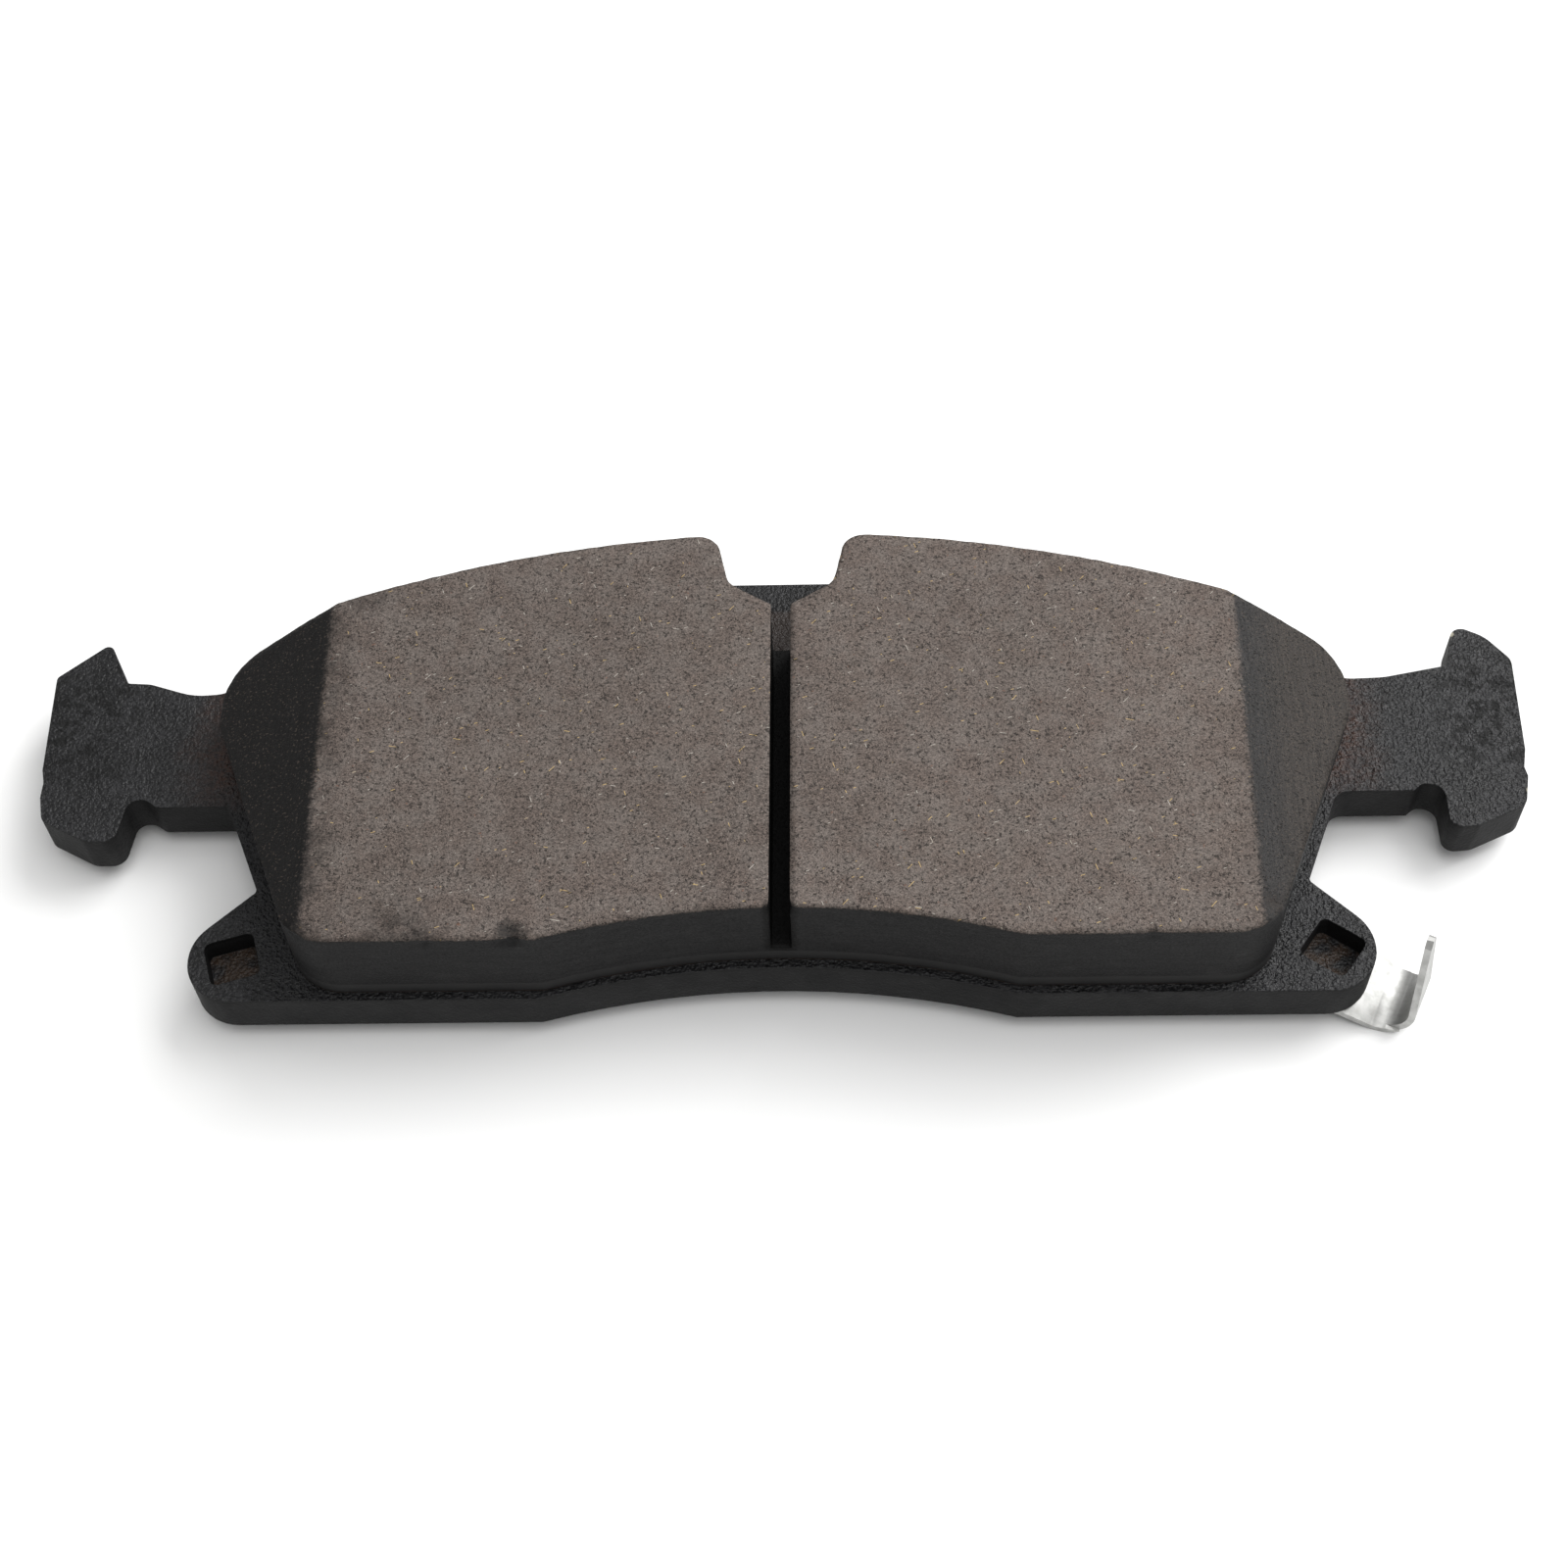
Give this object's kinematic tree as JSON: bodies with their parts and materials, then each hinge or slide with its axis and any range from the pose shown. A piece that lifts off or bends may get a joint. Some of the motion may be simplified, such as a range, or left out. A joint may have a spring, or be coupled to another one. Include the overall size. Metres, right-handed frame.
{
  "type": "disc brake pad",
  "caption": "Disc brake pad with slotted, chamfered lining on a black steel backing plate with hammerhead ears, rear noise shim and a staked spring-steel wear indicator",
  "frame": {"origin": "on the rear face of the shim, where the caliper piston pushes, on the plate's centre line and halfway across its width", "axes": "+X along the pad toward the wear indicator, +Y across the pad toward its outer edge, away from the rotor axis, +Z through the thickness from the piston side to the rotor side"},
  "size_m": [0.1962, 0.0667, 0.0211],
  "materials": {
    "powder_coated_steel": "satin black powder coat, orange-peel texture",
    "bond_adhesive": "cured phenolic adhesive, dark brown",
    "underlayer_mix": "moulded bonding mix, matte black",
    "friction_mix": "ground friction mix, matte, with dark grains and metal fibres",
    "shim_steel": "coated sheet steel, satin",
    "shim_rubber": "vulcanised damping layer",
    "shim_glue": "pressure-sensitive adhesive",
    "spring_steel": "bare rolled spring steel"
  },
  "bodies": {
    "root": {"backing_plate": "powder_coated_steel", "bond_film": "bond_adhesive", "underlayer": "underlayer_mix", "friction_block": "friction_mix", "shim_outer_sheet": "shim_steel", "shim_damping_layer": "shim_rubber", "shim_inner_sheet": "shim_steel", "shim_adhesive": "shim_glue", "wear_indicator": "spring_steel"}
  },
  "joints": []
}
